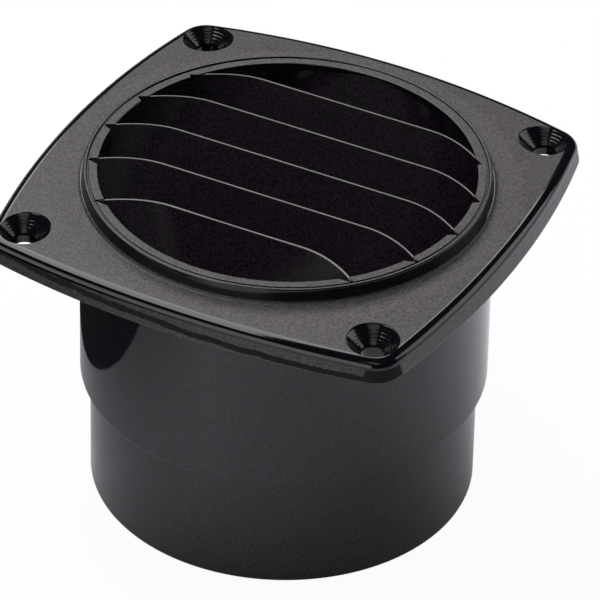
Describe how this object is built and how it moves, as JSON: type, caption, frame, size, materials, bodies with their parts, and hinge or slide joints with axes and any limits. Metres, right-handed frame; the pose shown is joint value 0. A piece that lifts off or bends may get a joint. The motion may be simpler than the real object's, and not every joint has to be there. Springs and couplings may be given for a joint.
{
  "type": "plastic vent grille",
  "caption": "Moulded black vent grille: a bowed square face plate with slanted louvre blades in a raised round ring, over a stepped round spigot for a hose.",
  "frame": {"origin": "centre of the spigot's open end, which is the bottom face that the grille stands on", "axes": "+Z along the duct from the spigot's open end to the face plate; +X along the louvre blades; +Y is the side of the opening that the blades' front edges lean away from, so the blades slope down towards -Y"},
  "size_m": [0.0954, 0.0954, 0.0708],
  "materials": {
    "gloss_black_plastic": "gloss black moulded plastic with a faint grain"
  },
  "bodies": {
    "root": {"vent_grille": "gloss_black_plastic"}
  },
  "joints": []
}
